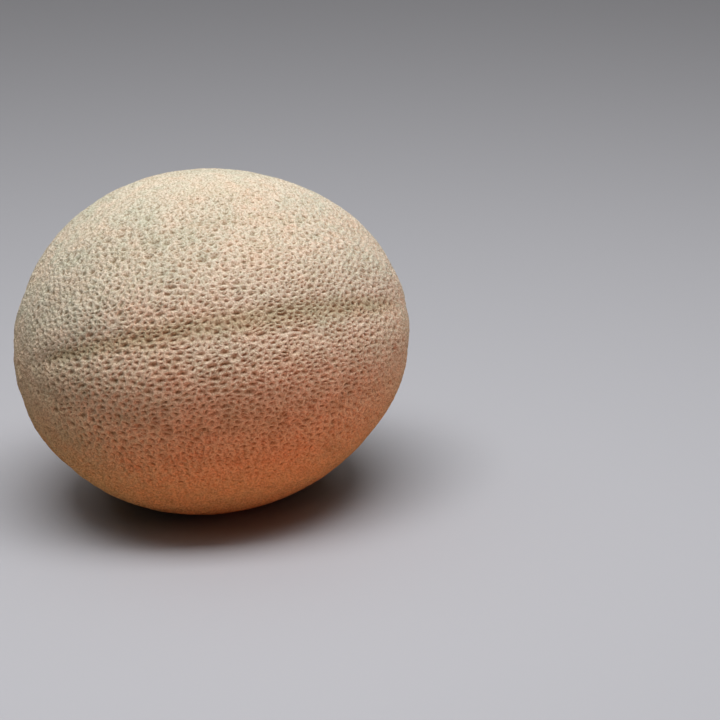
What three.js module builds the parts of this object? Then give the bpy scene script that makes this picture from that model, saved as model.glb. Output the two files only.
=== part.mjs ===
// A whole netted cantaloupe melon, as picked, lying on its side on its ground spot.
// The fruit grew as one piece, so it is one solid: a ribbed ellipsoid covered by a raised net of
// corky cords, with the round stem scar at one end and the small blossom scar at the other.
// Millimetres, +Z up. The origin is under the middle of the fruit, in the plane of the ground spot.
// +X runs along the fruit's axis to the stem end, and -X to the blossom end.
import * as THREE from "three";
import { ConvexHull } from "three/addons/math/ConvexHull.js";

// The fruit's form.
const LENGTH = 180; // stem end to blossom end
const DIAMETER = 155; // across the middle
const TAPER = 0.03; // share by which the stem end is slimmer and the blossom end fuller
const GROUND_SPOT_DEPTH = 2.8; // how much the fruit's own weight flattened it where it lay
const SWELL_HEIGHT = 0.7; // slow swells and hollows that keep the form from being exact

// The ribs: broad arched lobes from end to end, parted by shallow grooves. The grooves are a little
// deeper than on the living fruit, so that they show among the cords of the net.
const RIBS = 10;
const GROOVE_DEPTH = 2.4; // of the deepest groove, below the crowns of the ribs
const GROOVE_VARIETY = 0.25; // share by which the depths rise and fall, three times round the fruit
const GROOVE_ROUNDING = 0.25; // 0 makes each groove a crease between two arches
// How far from the axis the grooves begin, as a share of the radius, and where they are fully deep.
const GROOVE_START = 0.05;
const GROOVE_FULL = { stem: 0.85, blossom: 0.45 };
const FIRST_GROOVE = THREE.MathUtils.degToRad(155); // round the axis, from +Y towards +Z

// The net: each cell is a pit that falls from the cords round it to its middle. It is coarser and
// deeper than on the living fruit, with the same pattern.
const NET_CELLS = 1960;
const NET_CREST = 0.8; // how far the cords stand out of the skin
const CREST_UNEVENNESS = 0.2; // by how much the crests go up and down
const PIT_SLOPE = THREE.MathUtils.degToRad(39); // how steeply a cell falls to its middle
const CELL_STRAY = 0.4; // how far a cell's middle strays from an even spread, in cell widths
const RELAXATIONS = 2; // how often the cells' middles are then moved apart again
const BARE_RADIUS = 13; // round the middle of the ground spot, where the net was rubbed flat
const FULL_NET_RADIUS = 30; // from here outwards the net has its full height

// The scars at the two ends: a dish inside a low corky rim, with a ring of cords round it.
const STEM_SCAR = { side: 1, radius: 9.5, depth: 2.6, rim: 0.9, cords: 12 };
const BLOSSOM_SCAR = { side: -1, radius: 4.6, depth: 1.0, rim: 0.5, cords: 7 };
const DISH_FLOOR = 0.62; // radius of a dish's floor as a share of its rim's

const HALF_LENGTH = LENGTH / 2;
const HALF_DIAMETER = DIAMETER / 2;
const GROUND = GROUND_SPOT_DEPTH - HALF_DIAMETER; // the ground spot's height from the axis
const CELL_ANGLE = Math.sqrt((4 * Math.PI) / NET_CELLS); // a cell's width on the unit sphere
const GOLDEN_ANGLE = Math.PI * (3 - Math.sqrt(5));

// A seeded draw from 0 to 1, the same on every run.
function makeDraw(seed) {
  let state = seed;
  return () => {
    state = (state + 0x6d2b79f5) | 0;
    let mixed = Math.imul(state ^ (state >>> 15), 1 | state);
    mixed = (mixed + Math.imul(mixed ^ (mixed >>> 7), 61 | mixed)) ^ mixed;
    return ((mixed ^ (mixed >>> 14)) >>> 0) / 4294967296;
  };
}

const draw = makeDraw(11);

// How deep the grooves cut in a unit direction. They fade out at the two ends of the fruit.
function grooveDepth(direction) {
  const round = Math.atan2(direction.z, direction.y) - FIRST_GROOVE;
  const arch = Math.hypot(Math.sin((RIBS / 2) * round), GROOVE_ROUNDING);
  const crown = Math.hypot(1, GROOVE_ROUNDING);
  const nearGroove = (crown - arch) / (crown - GROOVE_ROUNDING);
  const fromAxis = Math.hypot(direction.y, direction.z);
  const full = direction.x > 0 ? GROOVE_FULL.stem : GROOVE_FULL.blossom;
  const run = THREE.MathUtils.smoothstep(fromAxis, GROOVE_START, full);
  const variety = 1 - GROOVE_VARIETY * (1 - Math.cos(3 * round));
  return GROOVE_DEPTH * nearGroove * run * variety;
}

// Three slow waves over the fruit.
function swell({ x, y, z }) {
  const first = Math.sin(2.1 * x + 1.7 * y + 0.4);
  const second = Math.sin(2.6 * z - 1.3 * x + 1.9);
  const third = Math.sin(2.3 * y + 1.9 * z + 3.1);
  return (SWELL_HEIGHT * (first + second + third)) / 3;
}

// The point of the skin in a unit direction, with relief added along the fruit's outward normal.
// The relief fades out on the ground spot, and what would reach below it lies in its plane.
function skinPoint({ x, y, z }, relief) {
  const girth = HALF_DIAMETER * (1 - TAPER * x);
  const point = new THREE.Vector3(HALF_LENGTH * x, girth * y, girth * z);
  const normal = new THREE.Vector3(x / HALF_LENGTH, y / girth, z / girth).normalize();
  const fromGroundSpot = z < 0 ? Math.hypot(point.x, point.y) : Infinity;
  const netted = THREE.MathUtils.smoothstep(fromGroundSpot, BARE_RADIUS, FULL_NET_RADIUS);
  const height = swell({ x, y, z }) - grooveDepth({ x, y, z }) + relief * netted;
  point.addScaledVector(normal, height);
  point.z = Math.max(point.z, GROUND) - GROUND;
  return point;
}

// The middles of the two scars' cells, with the scar that each one carries.
const scarAt = new Map();
for (const scar of [STEM_SCAR, BLOSSOM_SCAR]) {
  scarAt.set(new THREE.Vector3(scar.side, 0, 0), scar);
}

// The radius of the ring of cell middles round a scar. A corner of the net lies at the middle of
// three neighbours, so this ring puts the scar's own corners, its rim, at the scar's radius.
function ringRadius(scar) {
  return (1.5 * scar.radius) / Math.cos(Math.PI / scar.cords);
}

// The cell middles in the ring round a scar, as unit directions.
function ringMiddles(scar) {
  const across = ringRadius(scar) / HALF_DIAMETER;
  const along = scar.side * Math.sqrt(1 - across ** 2);
  return Array.from({ length: scar.cords }, (_, i) => {
    const angle = (2 * Math.PI * i) / scar.cords;
    return new THREE.Vector3(along, across * Math.cos(angle), across * Math.sin(angle));
  });
}

// Whether a cell middle keeps clear of the scar at its end of the fruit and of the ring round it.
function isClearOfScar(middle) {
  const scar = middle.x > 0 ? STEM_SCAR : BLOSSOM_SCAR;
  const fromAxis = HALF_DIAMETER * Math.hypot(middle.y, middle.z);
  return fromAxis > ringRadius(scar) + 0.75 * CELL_ANGLE * HALF_DIAMETER;
}

// The cell middles of the rest of the net: an even spiral from end to end, each one strayed a little.
function strewnMiddles() {
  const middles = [];
  for (let i = 0; i < NET_CELLS; i += 1) {
    const along = 1 - (2 * (i + 0.5)) / NET_CELLS;
    const across = Math.sqrt(1 - along ** 2);
    const angle = i * GOLDEN_ANGLE;
    const middle = new THREE.Vector3(along, across * Math.cos(angle), across * Math.sin(angle));
    const stray = new THREE.Vector3(draw() - 0.5, draw() - 0.5, draw() - 0.5);
    middle.addScaledVector(stray, 2 * CELL_STRAY * CELL_ANGLE).normalize();
    if (isClearOfScar(middle)) middles.push(middle);
  }
  return middles;
}

// The three cell middles that a face of the hull joins.
function middlesOf(face) {
  return [0, 1, 2].map((side) => face.getEdge(side).head().point);
}

// The direction of the corner where the cells of a face's three middles meet.
function cornerDirection(face) {
  const sum = new THREE.Vector3();
  for (const middle of middlesOf(face)) sum.add(middle);
  return sum.normalize();
}

// The hull of points on a sphere joins neighbours, and the net is its dual: a cell round each point,
// with a corner for each face there. Returns each cell's middle and faces, anticlockwise from outside.
function cellsRound(middles) {
  const edgeTo = new Map();
  for (const face of new ConvexHull().setFromPoints(middles).faces) {
    for (let side = 0; side < 3; side += 1) {
      const edge = face.getEdge(side);
      edgeTo.set(edge.head().point, edge);
    }
  }
  return middles.map((middle) => {
    const faces = [];
    let edge = edgeTo.get(middle);
    do {
      faces.unshift(edge.face);
      edge = edge.next.twin;
    } while (edge !== edgeTo.get(middle));
    return { middle, faces };
  });
}

// Moves each strewn middle to between its cell's corners, which evens out the cells.
function relax(strewn, fixed) {
  const cells = cellsRound([...fixed, ...strewn]).slice(fixed.length);
  return cells.map(({ faces }) => {
    const sum = new THREE.Vector3();
    for (const face of faces) sum.add(cornerDirection(face));
    return sum.normalize();
  });
}

// How far a cell's middle is from its sides, on average.
function meanReach({ middle, faces }) {
  const centre = skinPoint(middle, 0);
  const corners = faces.map((face) => skinPoint(cornerDirection(face), 0));
  let sum = 0;
  corners.forEach((corner, i) => {
    const next = corners[(i + 1) % corners.length];
    sum += corner.clone().lerp(next, 0.5).distanceTo(centre);
  });
  return sum / corners.length;
}

// The closed surface of the fruit, as points and the triangles between them.
class Skin {
  positions = [];
  indices = [];
  corners = new Map();

  addPoint(direction, relief) {
    this.positions.push(...skinPoint(direction, relief).toArray());
    return this.positions.length / 3 - 1;
  }

  // The corner at a face of the hull, on a crest of the net or on a scar's rim. Neighbours share it.
  cornerAt(face) {
    if (!this.corners.has(face)) {
      const crest = NET_CREST + CREST_UNEVENNESS * (draw() - 0.5);
      const scar = middlesOf(face).map((middle) => scarAt.get(middle)).find(Boolean);
      this.corners.set(face, this.addPoint(cornerDirection(face), crest + (scar?.rim ?? 0)));
    }
    return this.corners.get(face);
  }

  // Triangles from one point to each side of a closed ring round it.
  addFan(centre, ring) {
    ring.forEach((point, i) => this.indices.push(centre, point, ring[(i + 1) % ring.length]));
  }

  // A band of triangles between two closed rings with as many points.
  addBand(outer, inner) {
    outer.forEach((point, i) => {
      const next = (i + 1) % outer.length;
      this.indices.push(point, outer[next], inner[next]);
      this.indices.push(point, inner[next], inner[i]);
    });
  }

  // A cell of the net, falling from its corners to its middle.
  addPit(cell) {
    const bottom = NET_CREST - meanReach(cell) * Math.tan(PIT_SLOPE);
    const corners = cell.faces.map((face) => this.cornerAt(face));
    this.addFan(this.addPoint(cell.middle, bottom), corners);
  }

  // A scar's cell, falling from its rim to a flat floor.
  addDish({ middle, faces }) {
    const bottom = -scarAt.get(middle).depth;
    const rim = faces.map((face) => this.cornerAt(face));
    const floor = faces.map((face) => {
      const inwards = cornerDirection(face).lerp(middle, 1 - DISH_FLOOR).normalize();
      return this.addPoint(inwards, bottom);
    });
    this.addBand(rim, floor);
    this.addFan(this.addPoint(middle, bottom), floor);
  }

  toGeometry() {
    const geometry = new THREE.BufferGeometry();
    geometry.setAttribute("position", new THREE.Float32BufferAttribute(this.positions, 3));
    geometry.setIndex(this.indices);
    geometry.computeVertexNormals();
    return geometry;
  }
}

function makeMelon() {
  const fixed = [...scarAt.keys(), ...[STEM_SCAR, BLOSSOM_SCAR].flatMap(ringMiddles)];
  let strewn = strewnMiddles();
  for (let i = 0; i < RELAXATIONS; i += 1) strewn = relax(strewn, fixed);

  const skin = new Skin();
  for (const cell of cellsRound([...fixed, ...strewn])) {
    if (scarAt.has(cell.middle)) skin.addDish(cell);
    else skin.addPit(cell);
  }
  const rind = new THREE.MeshStandardMaterial({ color: 0xcdb594, roughness: 0.85, metalness: 0 });
  const melon = new THREE.Mesh(skin.toGeometry(), rind);
  melon.name = "melon";
  return melon;
}

const group = new THREE.Group();
group.add(makeMelon());

export default group;
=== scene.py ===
# %% [markdown]
# # A netted cantaloupe melon
#
# This lesson dresses one whole melon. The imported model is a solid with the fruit's form and a net
# of raised cords that is coarser than life. Here one piece replaces it, with the same form and a
# net as fine as on the real fruit, and gets its corky finish. The steps are the fruit's form, the
# pattern of the net, the relief of cords, pits and scars, a map for baking, the finish, the studio
# and the camera.

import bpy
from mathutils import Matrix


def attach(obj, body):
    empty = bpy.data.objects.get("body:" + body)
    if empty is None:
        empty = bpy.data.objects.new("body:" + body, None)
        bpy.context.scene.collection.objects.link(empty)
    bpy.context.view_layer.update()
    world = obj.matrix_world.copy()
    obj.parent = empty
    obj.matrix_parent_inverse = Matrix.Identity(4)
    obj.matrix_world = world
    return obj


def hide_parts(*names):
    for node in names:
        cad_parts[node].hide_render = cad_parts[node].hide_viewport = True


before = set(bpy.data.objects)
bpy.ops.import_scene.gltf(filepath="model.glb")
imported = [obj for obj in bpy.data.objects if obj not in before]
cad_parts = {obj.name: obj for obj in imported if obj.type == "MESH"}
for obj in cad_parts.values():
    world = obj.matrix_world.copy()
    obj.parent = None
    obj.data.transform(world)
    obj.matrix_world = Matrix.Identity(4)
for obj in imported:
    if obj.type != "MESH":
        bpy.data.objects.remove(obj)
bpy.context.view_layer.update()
print("packed nodes:", sorted(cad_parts))

# %% Libraries and units
import math
import random

import bmesh
import bpy
from mathutils import Vector, noise

MM = 0.001  # Blender works in metres, and the fruit's sizes are in millimetres
DRAW = random.Random(7)  # every random draw comes from this seeded source, so each run is alike

# %% [markdown]
# ## The fruit's form
#
# A melon is an ellipsoid, a little slimmer at the stem end, with ten broad ribs parted by shallow
# grooves that run from end to end. It could be sculpted, or subdivided from a cage. A formula is
# better here, because the form can be asked for at any point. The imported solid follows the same
# one with slightly deeper grooves, so the piece fits it everywhere. A point of the skin is named by
# its direction from the middle of the fruit, and relief is added along the skin's own normal.

# %% Sizes of the fruit
LENGTH = 180 * MM  # stem end to blossom end
DIAMETER = 155 * MM
TAPER = 0.03  # share by which the stem end is slimmer and the blossom end fuller
GROUND_SPOT_DEPTH = 2.8 * MM  # flattened by the fruit's own weight where it lay
SWELL_HEIGHT = 0.7 * MM  # of the slow dents and swells that no real fruit is without
RIBS = 10
GROOVE_DEPTH = 1.7 * MM  # of the deepest groove
GROOVE_VARIETY = 0.25  # share by which the depths rise and fall, three times round the fruit
GROOVE_ROUNDING = 0.25  # 0 makes each groove a crease between two arched ribs
GROOVE_START = 0.05  # how far from the axis the grooves begin, as a share of the radius,
GROOVE_FULL = dict(stem=0.85, blossom=0.45)  # and where they are fully deep, at each end
FIRST_GROOVE = math.radians(155)  # round the axis, from +Y towards +Z
BARE_RADIUS = 13 * MM  # the net is rubbed flat on the ground spot inside this radius
FULL_NET_RADIUS = 30 * MM
GROUND = GROUND_SPOT_DEPTH - DIAMETER / 2

print("melon:", round(LENGTH / MM), "mm long,", round(DIAMETER / MM), "mm across,", RIBS, "ribs")


# %% Grooves and slow swells
def smoothstep(value, low, high):
    share = min(1, max(0, (value - low) / (high - low)))
    return share * share * (3 - 2 * share)


def groove_share(direction):
    """1 where the deepest groove is fully deep, and 0 on the crowns of the ribs and at the ends."""
    around = math.atan2(direction.z, direction.y) - FIRST_GROOVE
    arch = math.hypot(math.sin(RIBS / 2 * around), GROOVE_ROUNDING)
    crown = math.hypot(1, GROOVE_ROUNDING)
    near_groove = (crown - arch) / (crown - GROOVE_ROUNDING)
    full = GROOVE_FULL["stem" if direction.x > 0 else "blossom"]
    run = smoothstep(math.hypot(direction.y, direction.z), GROOVE_START, full)
    variety = 1 - GROOVE_VARIETY * (1 - math.cos(3 * around))
    return near_groove * run * variety


def swell(direction):
    """Three waves that run different ways, so that the sum doesn't repeat itself on the fruit."""
    x, y, z = direction
    waves = (
        math.sin(2.1 * x + 1.7 * y + 0.4)
        + math.sin(2.6 * z - 1.3 * x + 1.9)
        + math.sin(2.3 * y + 1.9 * z + 3.1)
    )
    return SWELL_HEIGHT * waves / 3


grooves = [
    groove_share(Vector((0, math.cos(around), math.sin(around))))
    for around in (FIRST_GROOVE + 2 * math.pi * rib / RIBS for rib in range(RIBS))]
print("grooves:", [round(share * GROOVE_DEPTH / MM, 1) for share in grooves], "mm deep")


# %% A point of the skin
def net_share(direction):
    """How much of the net's relief is left: none on the ground spot, all of it elsewhere."""
    if direction.z >= 0:
        return 1.0
    from_spot = math.hypot(direction.x * LENGTH / 2, direction.y * DIAMETER / 2)
    return smoothstep(from_spot, BARE_RADIUS, FULL_NET_RADIUS)


def skin_point(direction, relief):
    """The skin's point in a unit direction, with its relief, and nothing below the ground spot."""
    x, y, z = direction
    girth = DIAMETER / 2 * (1 - TAPER * x)
    point = Vector((LENGTH / 2 * x, girth * y, girth * z))
    normal = Vector((x * 2 / LENGTH, y / girth, z / girth)).normalized()
    height = swell(direction) - GROOVE_DEPTH * groove_share(direction)
    point += normal * (height + relief * net_share(direction))
    point.z = max(point.z, GROUND) - GROUND
    return point


print("crown of the fruit:", [round(v / MM, 1) for v in skin_point(Vector((0, 0, 1)), 0)], "mm")

# %% [markdown]
# ## The pattern of the net
#
# The skin of a young melon stops growing before the flesh does, so it cracks, and cork heals the
# cracks as raised cords. The cords meet in threes, as cracks do, and leave cells of four to eight
# sides, about 3 mm across. Noise or a Voronoi texture could fake this, but cords that stand out are
# geometry. The steps are operators: an icosphere strews the cells' middles, a convex hull joins
# each one to its neighbours, a poke puts a corner into every triangle, and turning the hull's edges
# makes the cells' sides run from corner to corner. That is the hull's dual, the pattern of cracks.
# The pattern is made on a sphere, gathered toward the middle of the fruit, and stretched again at
# the end, because the fruit lengthens while its net forms and its cells come to lie along it.

# %% Strew the middles of the cells
ICOSPHERE_LEVEL = 6  # 10,242 middles, for cells about 3 mm across
NET_STRETCH = 0.36  # share by which the lengthening fruit spreads the net along its axis
CELL_STRAY = 0.75  # how far a middle strays, in cell widths


def end_distance(direction):
    """How far a unit direction lies from the fruit's axis."""
    return DIAMETER / 2 * math.hypot(direction.y, direction.z)


def put_on_sphere(points):
    for point in points:
        point.co.normalize()


def shift_along_axis(points, share):
    """Spreads points along the axis by a share, or with a negative share gathers them."""
    for point in points:
        latitude = math.asin(max(-1, min(1, point.co.x)))
        latitude += share / 2 * math.sin(2 * latitude)
        around = Vector((0, point.co.y, point.co.z)).normalized()
        point.co = around * math.cos(latitude) + Vector((math.sin(latitude), 0, 0))


net = bmesh.new()
bmesh.ops.create_icosphere(net, subdivisions=ICOSPHERE_LEVEL, radius=1)
cell_width = math.sqrt(4 * math.pi / len(net.verts))
for middle in net.verts:
    stray = Vector([DRAW.uniform(-1, 1) for _ in range(3)])
    middle.co += stray * CELL_STRAY * cell_width
put_on_sphere(net.verts)
shift_along_axis(net.verts, -NET_STRETCH)
print(len(net.verts), "middles,", round(cell_width * DIAMETER / 2 / MM, 2), "mm apart")


# %% Even out the middles and join the neighbours
EVENING_OUT = 0.5  # how far a middle moves toward the mean of its neighbours


def join_neighbours():
    """The convex hull of points on a sphere joins each one to its neighbours."""
    bmesh.ops.delete(net, geom=net.edges[:], context="EDGES_FACES")
    bmesh.ops.convex_hull(net, input=net.verts[:])


join_neighbours()
every_axis = dict(use_axis_x=True, use_axis_y=True, use_axis_z=True)
bmesh.ops.smooth_vert(net, verts=net.verts[:], factor=EVENING_OUT, **every_axis)
put_on_sphere(net.verts)
print("evened out:", len(net.edges), "joins between neighbours")

# %% Clear the two ends for the scars
STEM_SCAR = dict(side=1, radius=9.8 * MM, cells=21)  # the cells are those in the ring round it
BLOSSOM_SCAR = dict(side=-1, radius=4.6 * MM, cells=11)
SCARS = (STEM_SCAR, BLOSSOM_SCAR)
CLEAR_WIDTHS = 1.2  # width of the band outside a scar that its own cells take, in cell widths
RING_STRAY = 0.07  # how unevenly the cells beside a scar lie across their ring
STRAY_ALONG = 3  # how many times as unevenly they lie along it
FIXED_POINT_STEPS = 20  # enough for the angle to settle


def before_stretch(distance):
    """How far from the axis a point lies before the stretch that brings it to this distance."""
    ends_at = math.asin(distance / (DIAMETER / 2))
    angle = ends_at
    for _ in range(FIXED_POINT_STEPS):
        angle = ends_at + NET_STRETCH / 2 * math.sin(2 * angle)
    return DIAMETER / 2 * math.sin(angle)


def add_ring(scar, distance, first_angle):
    """A ring of middles that will lie at this distance from the axis."""
    step = 2 * math.pi / scar["cells"]
    for middle in bmesh.ops.create_circle(net, segments=scar["cells"], radius=1)["verts"]:
        angle = math.atan2(middle.co.y, middle.co.x) + first_angle
        angle += step * RING_STRAY * DRAW.uniform(-STRAY_ALONG, STRAY_ALONG)
        across = before_stretch(distance * (1 + RING_STRAY * DRAW.uniform(-1, 1))) / (DIAMETER / 2)
        length = scar["side"] * math.sqrt(1 - across ** 2)
        middle.co = length, across * math.cos(angle), across * math.sin(angle)


for scar in SCARS:
    width = 2 * math.pi * scar["radius"] / scar["cells"]
    clear = before_stretch(scar["radius"] + CLEAR_WIDTHS * width)
    at_end = [v for v in net.verts if v.co.x * scar["side"] > 0 and end_distance(v.co) < clear]
    bmesh.ops.delete(net, geom=at_end, context="VERTS")
    add_ring(scar, scar["radius"] + width / 2, 0)
    add_ring(scar, scar["radius"] - width / 2, math.pi / scar["cells"])
    bmesh.ops.create_vert(net, co=(scar["side"], 0, 0))
join_neighbours()
print("joined:", len(net.verts), "middles,", len(net.faces), "triangles")

# %% Turn the joined middles into cells
middles = net.verts[:]
joins = net.edges[:]
bmesh.ops.poke(net, faces=net.faces[:])
bmesh.ops.rotate_edges(net, edges=joins)
bmesh.ops.dissolve_verts(net, verts=middles)
put_on_sphere(net.verts)
bmesh.ops.recalc_face_normals(net, faces=net.faces[:])
shift_along_axis(net.verts, NET_STRETCH)
print(len(net.faces), "cells of", round(2 * len(net.edges) / len(net.faces), 1), "sides on average")

# %% Merge the cells in each scar, and round its edge
def round_edge(points, scar, radius):
    """Sets points on a circle round the fruit's axis."""
    for point in points:
        across = Vector((point.co.y, point.co.z)).normalized() * radius / (DIAMETER / 2)
        point.co = scar["side"] * math.sqrt(1 - across.length_squared), across.x, across.y


for scar in SCARS:
    inside = []
    for cell in net.faces:
        middle = cell.calc_center_median()
        if middle.x * scar["side"] > 0 and end_distance(middle) < scar["radius"]:
            inside.append(cell)
    scar["cell"] = bmesh.ops.dissolve_faces(net, faces=inside)["region"][0]
    round_edge(scar["cell"].verts, scar, scar["radius"])
    print("a scar's edge has", len(scar["cell"].verts), "corners")

print("net:", len(net.faces), "cells,", len(net.edges), "cords")

# %% [markdown]
# ## Cords and pits
#
# A cord is round and corky, over 2 mm wide at its foot and 1.4 mm high over the pits, and its
# neighbours crowd it, so the skin between the cords shows only as small pits. A bevel of every
# cord would make too many faces. Instead each cell gets an inner ring, which becomes the foot of
# the cords round it, and a poked middle, which is the bottom of the pit. Heights are kept for each
# point while the net is still a sphere, and the fruit's form comes last.

# %% Heights of the cords
CREST = 0.45 * MM  # the top of a cord, from the skin's mean level
CREST_UNEVENNESS = 0.2 * MM
LUMPS = 9  # how closely the slow lumps lie, to the radius of the fruit
SHOULDER_DROP = 0.85 * MM  # from a cord's top to its foot
SHOULDER_CORK = 0.42  # corkiness of a cord's foot, where it gives way to skin
CORD_WIDTH = 2.4 * MM
PIT_BOTTOM = -0.95 * MM
PIT_UNEVENNESS = 0.15 * MM

relief = net.verts.layers.float.new("relief")  # height over the skin's mean level
cork = net.verts.layers.float.new("cork")  # 1 on a cord and 0 in a pit


def crumble():
    """A small random height, for cork is never even."""
    return DRAW.uniform(-0.5, 0.5) * CREST_UNEVENNESS


for corner in net.verts:
    lumps = noise.noise(corner.co * LUMPS) * CREST_UNEVENNESS
    corner[relief] = CREST + lumps + crumble()
    corner[cork] = 1.0

scar_cells = [scar["cell"] for scar in SCARS]
cells = [cell for cell in net.faces if cell not in scar_cells]
print(len(net.verts), "corners where cords meet,", len(cells), "cells to sink")

# %% Shoulders of the cords
LEAST_PIT = 0.26  # a small cell keeps a pit of this share of its own width
VARIETY = (0.75, 1.25)  # the range of cord widths, and of the ring's corners within a cell


def set_in(cell, cord_width):
    """Pulls an inner ring away from the cords' middles by half a cord."""
    middle = sum((v.co for v in cell.verts), Vector()) / len(cell.verts)
    for point in cell.verts:
        reach = (point.co - middle).length * DIAMETER / 2
        share = max(LEAST_PIT, 1 - cord_width / 2 / reach) * DRAW.uniform(*VARIETY)
        point.co = middle + (point.co - middle) * share


bmesh.ops.inset_individual(net, faces=cells, thickness=0)
for cell in cells:
    set_in(cell, CORD_WIDTH * DRAW.uniform(*VARIETY))
    shoulder = CREST - SHOULDER_DROP + crumble()
    for point in cell.verts:
        point[relief] = shoulder
        point[cork] = SHOULDER_CORK
print("shoulders:", len(net.verts), "points")

# %% Bottoms of the pits
for bottom in bmesh.ops.poke(net, faces=cells)["verts"]:
    bottom[relief] = PIT_BOTTOM + DRAW.uniform(-1, 1) * PIT_UNEVENNESS
    bottom[cork] = 0.0
print("pits:", round((CREST - PIT_BOTTOM) / MM, 1), "mm from cord top to pit bottom")

# %% [markdown]
# ## The two scars
#
# At the stem end the ripe fruit slips off its stalk and leaves a round dish with a corky rim. At
# the other end the fallen flower left a small button-like mark. Both could be turned with a spin,
# but then they would have to be sewn into the net. The one round cell that each scar already has is
# simpler: an inset makes each ring inside it, and the ring's points take the radius and height of a
# turned profile. Slow noise lifts some of them, in strands that run outward as torn fibres do.

# %% Profiles of the scars, as radius, height and corkiness
STEM_SCAR["profile"] = [
    (9.8 * MM, 0.9 * MM, 1.0),
    (9.1 * MM, 0.9 * MM, 0.9),
    (8.5 * MM, 0.3 * MM, 0.6),
    (7.9 * MM, -0.7 * MM, 0.25),
    (7.0 * MM, -1.5 * MM, 0.2),
    (5.9 * MM, -2.0 * MM, 0.25),
    (4.6 * MM, -2.2 * MM, 0.2),
    (3.4 * MM, -2.1 * MM, 0.25),
    (2.2 * MM, -1.8 * MM, 0.3),
    (1.1 * MM, -1.3 * MM, 0.4),
]
BLOSSOM_SCAR["profile"] = [
    (4.6 * MM, 0.7 * MM, 1.0),
    (4.0 * MM, 0.5 * MM, 0.9),
    (3.4 * MM, -0.2 * MM, 0.4),
    (2.6 * MM, -0.6 * MM, 0.3),
    (1.7 * MM, -0.4 * MM, 0.5),
    (0.8 * MM, 0.2 * MM, 0.8),
]
STRANDS = 5  # how closely the torn strands of the stalk lie round a scar
STRAND_LENGTH = 4 * MM
STRAND_HEIGHT = 0.5 * MM
SCARS_APART = 10  # in the noise, so that the two scars differ
EDGE_WANDER = 0.06  # share by which a ring of the scar leaves the true circle
CORK_WANDER = 0.3  # the strands' tops are corkier than the gaps between them

for scar in SCARS:
    deepest = min(height for radius, height, corkiness in scar["profile"])
    print("scar:", len(scar["profile"]), "rings,", round(-deepest / MM, 1), "mm deep")


def strand(point, radius):
    """Slow round the scar and slower along its radius, so that it makes radial ridges."""
    around = Vector((point.co.y, point.co.z, 0)).normalized() * STRANDS
    around.z = point.co.x * SCARS_APART + radius / STRAND_LENGTH
    return noise.noise(around)


def turn_scar(scar):
    """Sinks ring after ring of the profile into a scar's cell, and closes it with a button."""
    cell = scar["cell"]
    for ring, (radius, height, corkiness) in enumerate(scar["profile"]):
        if ring > 0:
            bmesh.ops.inset_individual(net, faces=[cell], thickness=0)
        for point in cell.verts:
            lump = strand(point, radius)
            round_edge([point], scar, radius * (1 + EDGE_WANDER * lump * min(ring, 1)))
            point[relief] = height + STRAND_HEIGHT * lump + crumble()
            point[cork] = corkiness + CORK_WANDER * lump
    button = bmesh.ops.poke(net, faces=[cell])["verts"][0]
    button[relief] = height
    button[cork] = corkiness


for scar in SCARS:
    turn_scar(scar)
bmesh.ops.triangulate(net, faces=net.faces[:])
print("net with scars:", len(net.faces), "triangles")

# %% [markdown]
# ## A map for baking, and the fruit's form
#
# The finish is meant to be baked onto a flat map. Unwrapping a net by its angles would cut it into
# thousands of scraps, so the map is made from the directions: the sphere falls into six charts, one
# for each side of a cube, and the angles from a chart's middle spread it evenly. Then every point
# moves to its place on the fruit.

# %% Six charts of the sphere
CHART_FILL = 0.94  # the rest of each chart is a margin
chart_map = net.loops.layers.uv.new("OFBake")


def chart_of(direction):
    """Which of the three axes, and which side of it, a direction lies nearest to."""
    axis = max(range(3), key=lambda i: abs(direction[i]))
    return axis, direction[axis] > 0


def chart_point(direction, chart):
    """A direction's place on the map, by its two angles from the middle of its chart."""
    axis, positive = chart
    toward = abs(direction[axis])
    across, up = direction[(axis + 1) % 3], direction[(axis + 2) % 3]
    u = math.atan2(across, toward) / (math.pi / 2) * CHART_FILL + 0.5
    v = math.atan2(up, toward) / (math.pi / 2) * CHART_FILL + 0.5
    return (axis + u) / 3, (positive + v) / 2


for face in net.faces:
    chart = chart_of(face.calc_center_median())
    for loop in face.loops:
        loop[chart_map].uv = chart_point(loop.vert.co, chart)
print("a chart spans", round(math.pi / 4 * (LENGTH + DIAMETER) / 2 / MM), "mm of skin")

# %% Give the net the fruit's form
groove = net.verts.layers.float.new("groove")
for point in net.verts:
    direction = point.co.normalized()
    point[groove] = groove_share(direction)
    point.co = skin_point(direction, point[relief])

rind_mesh = bpy.data.meshes.new("netted rind")
net.to_mesh(rind_mesh)
net.free()
rind_mesh.shade_smooth()
melon = bpy.data.objects.new("netted-melon", rind_mesh)
bpy.context.scene.collection.objects.link(melon)
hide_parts("melon")
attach(melon, "root")
print("melon:", len(rind_mesh.vertices), "points,", len(rind_mesh.polygons), "triangles")


# %% [markdown]
# ## The finish
#
# Cork is dead, dry and full of air: pale straw, with no gloss. The skin in the pits is the green
# rind, which has turned a dull tan as the fruit ripened, and that tan is painted darker than its
# own as painted shade, for the shade that the cords cast into the pits. Two materials would meet
# in a hard line round every pit. So one material, corky periderm, goes from pit to cord by the
# height kept on each point, with slow patches of warmer and greener tone over the whole fruit and a
# fine grain of crumbs, which darkens the cork in spots and roughens it.

# %% Helpers for materials
def linear(code):
    """An sRGB hex code as the linear colour that the shaders take."""
    channels = [int(code[i:i + 2], 16) / 255 for i in (1, 3, 5)]
    return [c / 12.92 if c <= 0.04045 else ((c + 0.055) / 1.055) ** 2.4 for c in channels] + [1]


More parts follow.
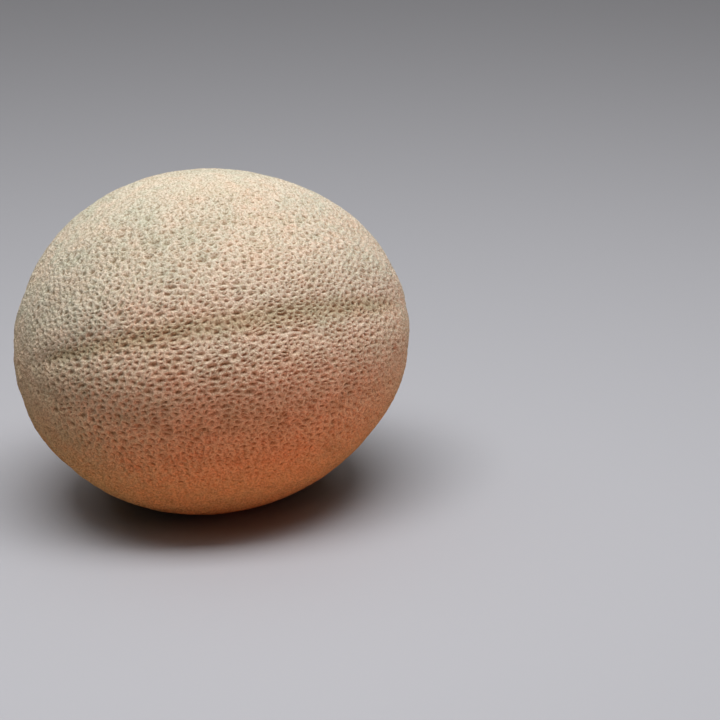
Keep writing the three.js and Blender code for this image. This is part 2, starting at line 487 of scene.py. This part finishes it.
def add_node(material, kind, settings=None, inputs=None, stops=()):
    """A new node with its settings. An input is a value, or the output socket that feeds it. Stops
    are the places and colours of a colour ramp."""
    node = material.node_tree.nodes.new(kind)
    for name, value in (settings or {}).items():
        setattr(node, name, value)
    for name, value in (inputs or {}).items():
        if isinstance(value, bpy.types.NodeSocket):
            material.node_tree.links.new(value, node.inputs[name])
        else:
            node.inputs[name].default_value = value
    for number, (position, colour) in enumerate(stops):
        elements = node.color_ramp.elements
        element = elements[number] if number < len(elements) else elements.new(position)
        element.position = position
        element.color = colour
    return node


def new_material(name):
    material = bpy.data.materials.new(name)
    material.use_nodes = True
    return material, material.node_tree.nodes["Principled BSDF"]


print("straw as light:", [round(channel, 2) for channel in linear("#e2d6be")])

# %% Patterns of the rind
PATCH_SIZE = 30 * MM  # slow changes from straw to buff to a greener grey
BLOTCH_SIZE = 6 * MM
GRAIN_SIZE = 0.9 * MM  # corky crumbs, which are really 0.3 mm, drawn as coarse as they can show
FINE_DETAIL = 0.6  # how much of the smaller features each pattern keeps

rind, rind_shader = new_material("corky melon periderm")
place = add_node(rind, "ShaderNodeTexCoord").outputs["Object"]
patches, blotches, grain = [
    add_node(rind, "ShaderNodeTexNoise", inputs={
        "Vector": place, "Scale": 1 / size, "Detail": detail,
        "Roughness": FINE_DETAIL}).outputs["Fac"]
    for size, detail in ((PATCH_SIZE, 2.0), (BLOTCH_SIZE, 3.0), (GRAIN_SIZE, 2.0))]
cork_height, in_groove = [
    add_node(rind, "ShaderNodeAttribute", {"attribute_name": name}).outputs["Fac"]
    for name in ("cork", "groove")]
pattern_sizes = [round(size / MM, 1) for size in (PATCH_SIZE, BLOTCH_SIZE, GRAIN_SIZE)]
print("patterns:", pattern_sizes, "mm wide")

# %% Tones of the cords, and of the skin in the pits with painted shade
BLACK, WHITE = (0, 0, 0, 1), (1, 1, 1, 1)
MULTIPLY = {"data_type": "RGBA", "blend_type": "MULTIPLY"}
LOW, MIDDLE, HIGH = 0.36, 0.5, 0.64  # a noise pattern seldom leaves this range
STRAW_TONES = [(LOW, linear("#dad3bb")), (MIDDLE, linear("#e2d6be")), (HIGH, linear("#e3d3b9"))]
HUE_DRIFT = [(LOW, linear("#f5f8f1")), (MIDDLE, linear("#fbfaf5")), (HIGH, linear("#fff8f1"))]
# The pits' tan is partly the skin's own colour and partly painted shade, darker than the real skin,
# for the shade that the cords round each pit cast.
PIT_SKIN_AND_SHADE_TONES = [(LOW, linear("#7f6d4b")), (MIDDLE, linear("#897351")), (HIGH, linear("#917755"))]
CRUMB_TONES = [(LOW, linear("#d2c8bc")), (0.6, WHITE)]  # only the hollows of the grain darken

straw, drift, pit_skin_and_shade, crumbs = [
    add_node(rind, "ShaderNodeValToRGB", inputs={"Fac": pattern}, stops=stops).outputs["Color"]
    for pattern, stops in (
        (patches, STRAW_TONES), (blotches, HUE_DRIFT), (blotches, PIT_SKIN_AND_SHADE_TONES), (grain, CRUMB_TONES))]
crumbly_straw = add_node(rind, "ShaderNodeMix", MULTIPLY, {
    "Factor": 1.0, "A": straw, "B": crumbs}).outputs["Result"]
cord_colour = add_node(rind, "ShaderNodeMix", MULTIPLY, {
    "Factor": 1.0, "A": crumbly_straw, "B": drift}).outputs["Result"]
print("cords:", len(STRAW_TONES), "straw tones; pits:", len(PIT_SKIN_AND_SHADE_TONES), "tan tones")

# %% From pit to cord by height
GRAIN_SHARE = 0.5  # how much the grain frays the line between pit and cord
SKIN_BELOW, CORK_ABOVE = 0.3, 0.72  # uneven heights at which bare skin ends and full cork begins

uneven_height = add_node(rind, "ShaderNodeMath", {"operation": "MULTIPLY_ADD"}, {
    0: grain, 1: GRAIN_SHARE, 2: cork_height}).outputs["Value"]
corkiness = add_node(rind, "ShaderNodeValToRGB", inputs={
    "Fac": uneven_height}, stops=[(SKIN_BELOW, BLACK), (CORK_ABOVE, WHITE)]).outputs["Color"]
skin_colour = add_node(rind, "ShaderNodeMix", {"data_type": "RGBA"}, {
    "Factor": corkiness, "A": pit_skin_and_shade, "B": cord_colour}).outputs["Result"]
turns_at = [round((height - GRAIN_SHARE / 2) * 100) for height in (SKIN_BELOW, CORK_ABOVE)]
print("skin turns to cork at", turns_at, "% of a cord's height")

# %% Warmer and darker below, partly painted warm light, and greener in the grooves
# Toward the bottom the rind is painted warmer and darker: partly the fruit's own warmer ground
# side, partly painted warm light reflected up onto the lower flank, as the warm reflector and card
# give.
WARM_GROUND_AND_PAINTED_BOUNCE = linear("#fbc58a")
COOL_ABOVE, FULLY_WARM_BELOW = 112 * MM, 20 * MM  # between these heights the warmth comes in
GREY_GREEN = linear("#e4e2d4")
GROOVE_TINT_FROM = 0.6  # share of the deepest groove from which its skin is tinted

height = add_node(rind, "ShaderNodeSeparateXYZ", inputs={"Vector": place}).outputs["Z"]
ground_and_bounce_share = add_node(rind, "ShaderNodeMapRange", {"interpolation_type": "SMOOTHSTEP"}, {
    "Value": height, "From Min": COOL_ABOVE, "From Max": FULLY_WARM_BELOW}).outputs["Result"]
ground_and_bounce_warmed = add_node(rind, "ShaderNodeMix", MULTIPLY, {
    "Factor": ground_and_bounce_share, "A": skin_colour, "B": WARM_GROUND_AND_PAINTED_BOUNCE}).outputs["Result"]
deep_groove = add_node(rind, "ShaderNodeValToRGB", inputs={
    "Fac": in_groove}, stops=[(GROOVE_TINT_FROM, BLACK), (1.0, WHITE)]).outputs["Color"]
rind_colour = add_node(rind, "ShaderNodeMix", MULTIPLY, {
    "Factor": deep_groove, "A": ground_and_bounce_warmed, "B": GREY_GREEN}).outputs["Result"]
rind.node_tree.links.new(rind_colour, rind_shader.inputs["Base Color"])
print("colour:", len(rind.node_tree.nodes), "nodes")

# %% A matt, crumbly surface
CORK_ROUGHNESS = 0.8  # dry cork scatters light all ways, so that no gloss is left
CORK_IOR = 1.45  # of the wax in the walls of its cells
CRUMB_HEIGHT = 0.8 * MM  # for the bump alone, as coarse for the eye as the grain is

rind_shader.inputs["Roughness"].default_value = CORK_ROUGHNESS
rind_shader.inputs["IOR"].default_value = CORK_IOR
bump = add_node(rind, "ShaderNodeBump", inputs={
    "Height": grain, "Strength": 1.0, "Distance": CRUMB_HEIGHT}).outputs["Normal"]
rind.node_tree.links.new(bump, rind_shader.inputs["Normal"])
rind_mesh.materials.append(rind)
print("finish:", rind.name)

# %% [markdown]
# ## Studio
#
# A broad soft light hangs over the fruit, so the top is bright and the flanks fall off slowly. Weak
# fills open up the ends and the back, and two warm ones in front warm the lower flank, as orange
# melon flesh beside the fruit would. A wide light of its own keeps the floor, a plain pale sheet,
# pale far behind the fruit. One light for all of this would leave the fruit flat. So light linking
# keeps the fills on the fruit and the wide light on the floor, and one soft shadow is left. The dim
# sky darkens toward the horizon as the far floor does, so no line parts them.

# %% Floor and overhead light
FLOOR_REACH = 6  # metres each way, so that its edge lies in the dark
PAINT_ROUGHNESS = 0.9

floor_mesh = bpy.data.meshes.new("studio floor")
sheet = bmesh.new()
bmesh.ops.create_grid(sheet, x_segments=1, y_segments=1, size=FLOOR_REACH)
sheet.to_mesh(floor_mesh)
sheet.free()
floor = bpy.data.objects.new("studio-floor", floor_mesh)
bpy.context.scene.collection.objects.link(floor)
paint, paint_shader = new_material("matte studio paint")
paint_shader.inputs["Base Color"].default_value = linear("#a9a7a5")
paint_shader.inputs["Roughness"].default_value = PAINT_ROUGHNESS
floor_mesh.materials.append(paint)


def add_softbox(name, place, aim, size, power, colour):
    """A soft light with its place, aim and size in metres, and its power in watts."""
    lamp = bpy.data.lights.new(name, "AREA")
    lamp.shape = "RECTANGLE"
    lamp.size, lamp.size_y = size
    lamp.energy = power
    lamp.color = linear(colour)[:3]
    softbox = bpy.data.objects.new(name, lamp)
    softbox.location = place
    softbox.rotation_euler = (Vector(aim) - Vector(place)).to_track_quat("-Z", "Y").to_euler()
    softbox.visible_camera = False
    bpy.context.scene.collection.objects.link(softbox)
    return softbox


key = add_softbox(
    "overhead softbox", (-0.07, -0.22, 1.1), (0, 0, 0.08), (1.0, 0.42), 14.9, "#f2f5ff")
print("key light:", round(key.data.energy, 1), "W over the fruit")

# %% Lights that reach only the fruit or only the floor
def light_only(target, softboxes):
    """Keeps the softboxes' light on one object."""
    lit = bpy.data.collections.new("lit " + target.name)
    lit.objects.link(target)
    for softbox in softboxes:
        softbox.light_linking.receiver_collection = lit
        print(softbox.name, "lights only", target.name)


light_only(floor, [
    add_softbox("floor light", (0, 0.6, 2.6), (0, 0.6, 0), (4.5, 4.5), 48, "#f2f5ff"),
])
light_only(melon, [
    add_softbox("back fill", (0.1, 1.3, 0.7), (0, 0, 0.06), (0.8, 0.5), 5, "#fff4e8"),
    add_softbox("stem side fill", (0.85, -0.25, 0.8), (0, 0, 0.08), (0.5, 0.5), 3.6, "#e2ecff"),
    add_softbox("blossom side fill", (-1.0, -0.1, 0.9), (0, 0, 0.08), (0.5, 0.5), 1.2, "#f4f0ff"),
    add_softbox("warm reflector", (0.08, -0.74, 0.04), (0, 0, 0.06), (0.3, 0.3), 1.52, "#ff721e"),
    add_softbox("warm card", (-0.01, -0.13, 0.002), (-0.01, -0.13, 1), (0.14, 0.05), 0.022,
                "#ff7a28"),
])

# %% An even sky
HORIZON_STRENGTH, UPPER_STRENGTH = 0.05, 0.09
UPPER_SKY = 0.4  # from this sine of the height angle upward the sky is even

world = bpy.data.worlds.new("studio fill")
world.use_nodes = True
sky = world.node_tree.nodes["Background"]
upward = add_node(world, "ShaderNodeSeparateXYZ", inputs={
    "Vector": add_node(world, "ShaderNodeTexCoord").outputs["Generated"]}).outputs["Z"]
sky_strength = add_node(world, "ShaderNodeMapRange", inputs={
    "Value": upward, "From Min": 0, "From Max": UPPER_SKY,
    "To Min": HORIZON_STRENGTH, "To Max": UPPER_STRENGTH}).outputs["Result"]
world.node_tree.links.new(sky_strength, sky.inputs["Strength"])
sky.inputs["Color"].default_value = linear("#d8cfc8")
bpy.context.scene.world = world
bpy.context.scene.view_settings.view_transform = "Standard"
print("sky:", HORIZON_STRENGTH, "at the horizon,", UPPER_STRENGTH, "above")

# %% [markdown]
# ## Camera
#
# The camera stands on the side of the fruit, nearer to the blossom end, and looks down on it a
# little. The fruit is left of the picture's middle, so the camera looks past its right side.

# %% Camera
VIEW_AZIMUTH = math.radians(-20.5)
VIEW_ELEVATION = math.radians(19)
VIEW_DISTANCE = 0.9
PICTURE = 720  # pixels each way
FOCAL_PIXELS = 1987
FRUIT_AT = (214, 340)  # where the middle of the fruit lies in the picture, in pixels
SENSOR = 36  # millimetres, as the lens is given

fruit_middle = Vector((0, 0, -GROUND))
toward_camera = Vector((
    math.sin(VIEW_AZIMUTH) * math.cos(VIEW_ELEVATION),
    -math.cos(VIEW_AZIMUTH) * math.cos(VIEW_ELEVATION),
    math.sin(VIEW_ELEVATION)))
lens = bpy.data.cameras.new("camera")
lens.sensor_width = SENSOR
lens.lens = SENSOR * FOCAL_PIXELS / PICTURE
camera = bpy.data.objects.new("camera", lens)
camera.location = fruit_middle + toward_camera * VIEW_DISTANCE
print("camera at:", [round(v, 2) for v in camera.location], "m")

# %% Aim the camera
aside = (FRUIT_AT[0] - PICTURE / 2) / FOCAL_PIXELS
above = (PICTURE / 2 - FRUIT_AT[1]) / FOCAL_PIXELS
slant = math.hypot(1, aside, above)
pitch = math.asin(-math.sin(VIEW_ELEVATION) * slant / math.hypot(1, above)) - math.atan(above)
turn = math.atan2(aside, math.cos(pitch) - above * math.sin(pitch))
camera.rotation_euler = math.pi / 2 + pitch, 0, VIEW_AZIMUTH + turn
bpy.context.scene.collection.objects.link(camera)
bpy.context.scene.camera = camera
print("lens:", round(lens.lens, 1), "mm")
